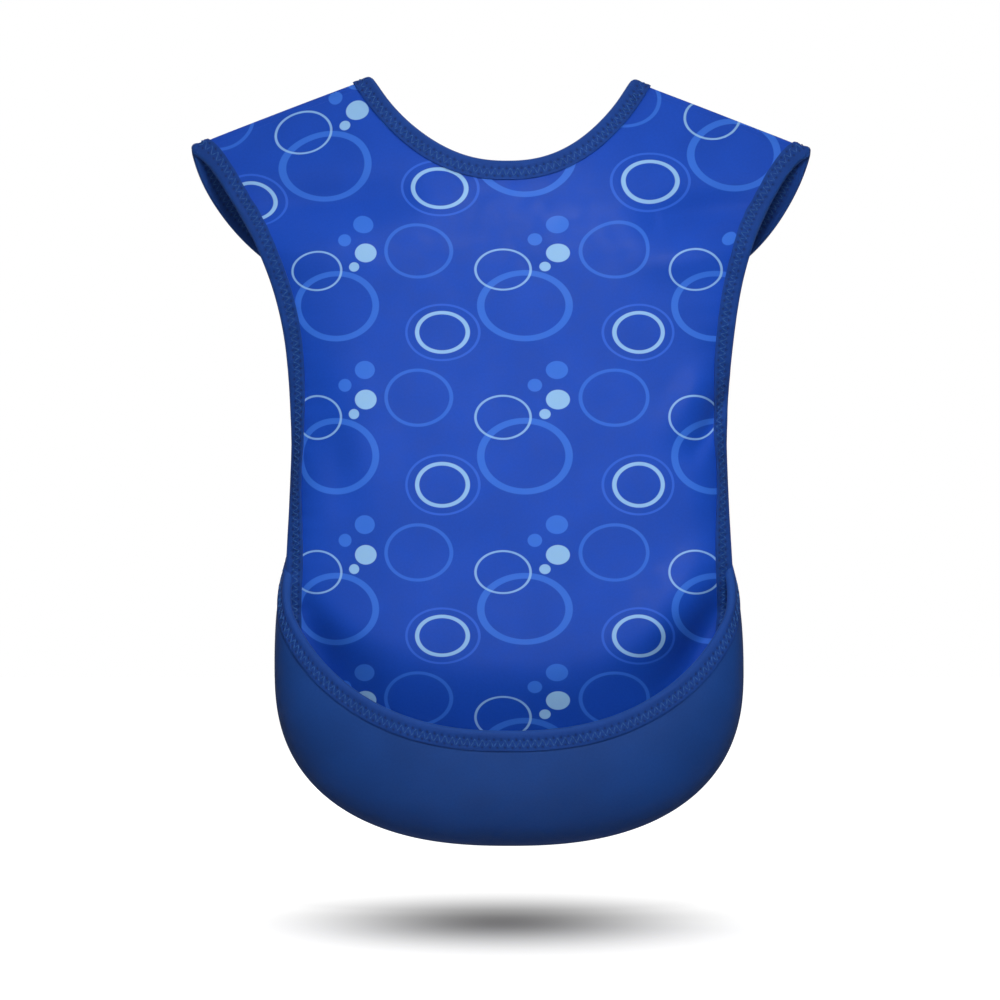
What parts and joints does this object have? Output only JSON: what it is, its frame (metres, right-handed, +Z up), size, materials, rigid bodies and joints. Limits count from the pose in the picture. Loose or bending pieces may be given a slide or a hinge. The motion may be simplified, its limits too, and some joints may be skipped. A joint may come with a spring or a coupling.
{
  "type": "baby bib",
  "caption": "Soft cap-sleeve baby bib with a printed front, bound edges, a gaping scoop pocket and back flaps that lap and close behind the neck.",
  "frame": {"origin": "middle of the straight line between the two neck corners, on the shoulder folds, where the bib hangs from the wearer", "axes": "+Z up, -Y towards the front of the bib, +X to the right as seen from the front"},
  "size_m": [0.3068, 0.1441, 0.3761],
  "materials": {
    "printed_cloth": "satin",
    "lining_cloth": "matte",
    "pocket_cloth": "satin",
    "binding_tape": "matte",
    "hook_tape": "matte",
    "loop_tape": "matte"
  },
  "bodies": {
    "root": {"front_outer": "printed_cloth", "front_lining": "lining_cloth", "neck_binding": "binding_tape", "left_side_binding": "binding_tape", "right_side_binding": "binding_tape"},
    "right_flap": {"right_flap_outer": "printed_cloth", "right_flap_lining": "lining_cloth", "right_flap_binding": "binding_tape", "hook_patch": "hook_tape"},
    "left_flap": {"left_flap_outer": "printed_cloth", "left_flap_lining": "lining_cloth", "left_flap_binding": "binding_tape", "loop_patch": "loop_tape"},
    "pocket": {"pocket_outer": "pocket_cloth", "pocket_lining": "lining_cloth", "pocket_rim_binding": "binding_tape"}
  },
  "joints": [
    {"name": "right_shoulder_fold", "type": "hinge", "parent": "root", "child": "right_flap", "pos_m": [0.0646, 0, 0], "axis": [0.9342, 0, -0.3569], "range_deg": [0, 110]},
    {"name": "left_shoulder_fold", "type": "hinge", "parent": "root", "child": "left_flap", "pos_m": [-0.0646, 0, 0], "axis": [0.9342, 0, 0.3569], "range_deg": [0, 88]},
    {"name": "pocket_open", "type": "hinge", "parent": "root", "child": "pocket", "pos_m": [0, -0.037, -0.3776], "axis": [1, 0, 0], "range_deg": [0, 15], "stiffness_Nm_per_rad": 0.2, "springref_deg": -20.05}
  ],
  "couplings": [
    {"joint": "left_shoulder_fold", "follows": "right_shoulder_fold", "ratio": 0.8}
  ]
}
